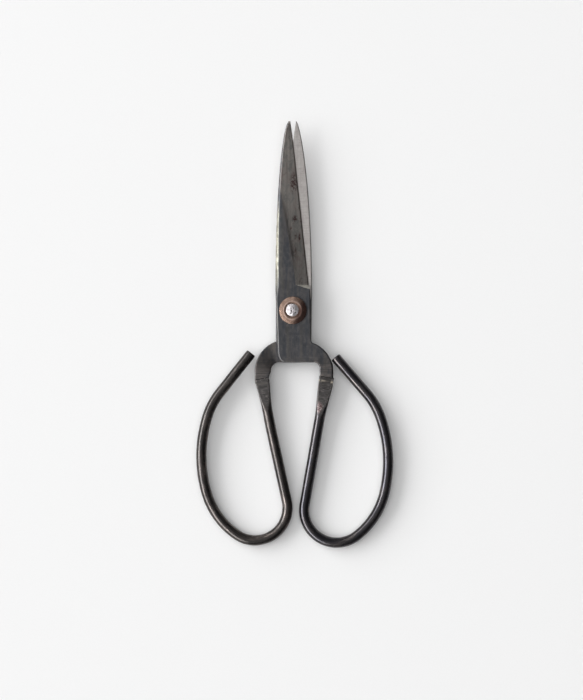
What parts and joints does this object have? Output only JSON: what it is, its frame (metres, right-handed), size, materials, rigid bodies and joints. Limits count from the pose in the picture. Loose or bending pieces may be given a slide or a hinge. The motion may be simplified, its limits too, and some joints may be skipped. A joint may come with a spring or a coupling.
{
  "type": "floral snips",
  "caption": "Slim riveted floral snips: crossed forged blades with a ground bevel, on bent round-bar bow handles that lie open beside the arms.",
  "frame": {"origin": "on the hinge axis, at the flat end of the rivet's rear head that the tool rests on", "axes": "+Y to the blade tips, +Z along the hinge axis out of the front face, +X to the side of the front half's handle"},
  "size_m": [0.088, 0.1903, 0.0091],
  "materials": {
    "blade_steel": "forged scale with a brushed ground bevel",
    "polished_steel": "brushed inner face, forged scale outside",
    "blacked_steel": "satin, fire-blacked, worn",
    "copper": "satin, tarnished",
    "rivet_steel": "hammered bright"
  },
  "bodies": {
    "rear_half": {"rear_blade": "polished_steel", "rear_handle": "blacked_steel", "pivot_rivet": "rivet_steel", "rear_washer": "copper", "front_washer": "copper"},
    "front_half": {"front_blade": "blade_steel", "front_handle": "blacked_steel"}
  },
  "joints": [
    {"name": "pivot", "type": "hinge", "parent": "rear_half", "child": "front_half", "pos_m": [0, 0, 0.0045], "axis": [0, 0, 1], "range_deg": [-1.75, 110]}
  ]
}
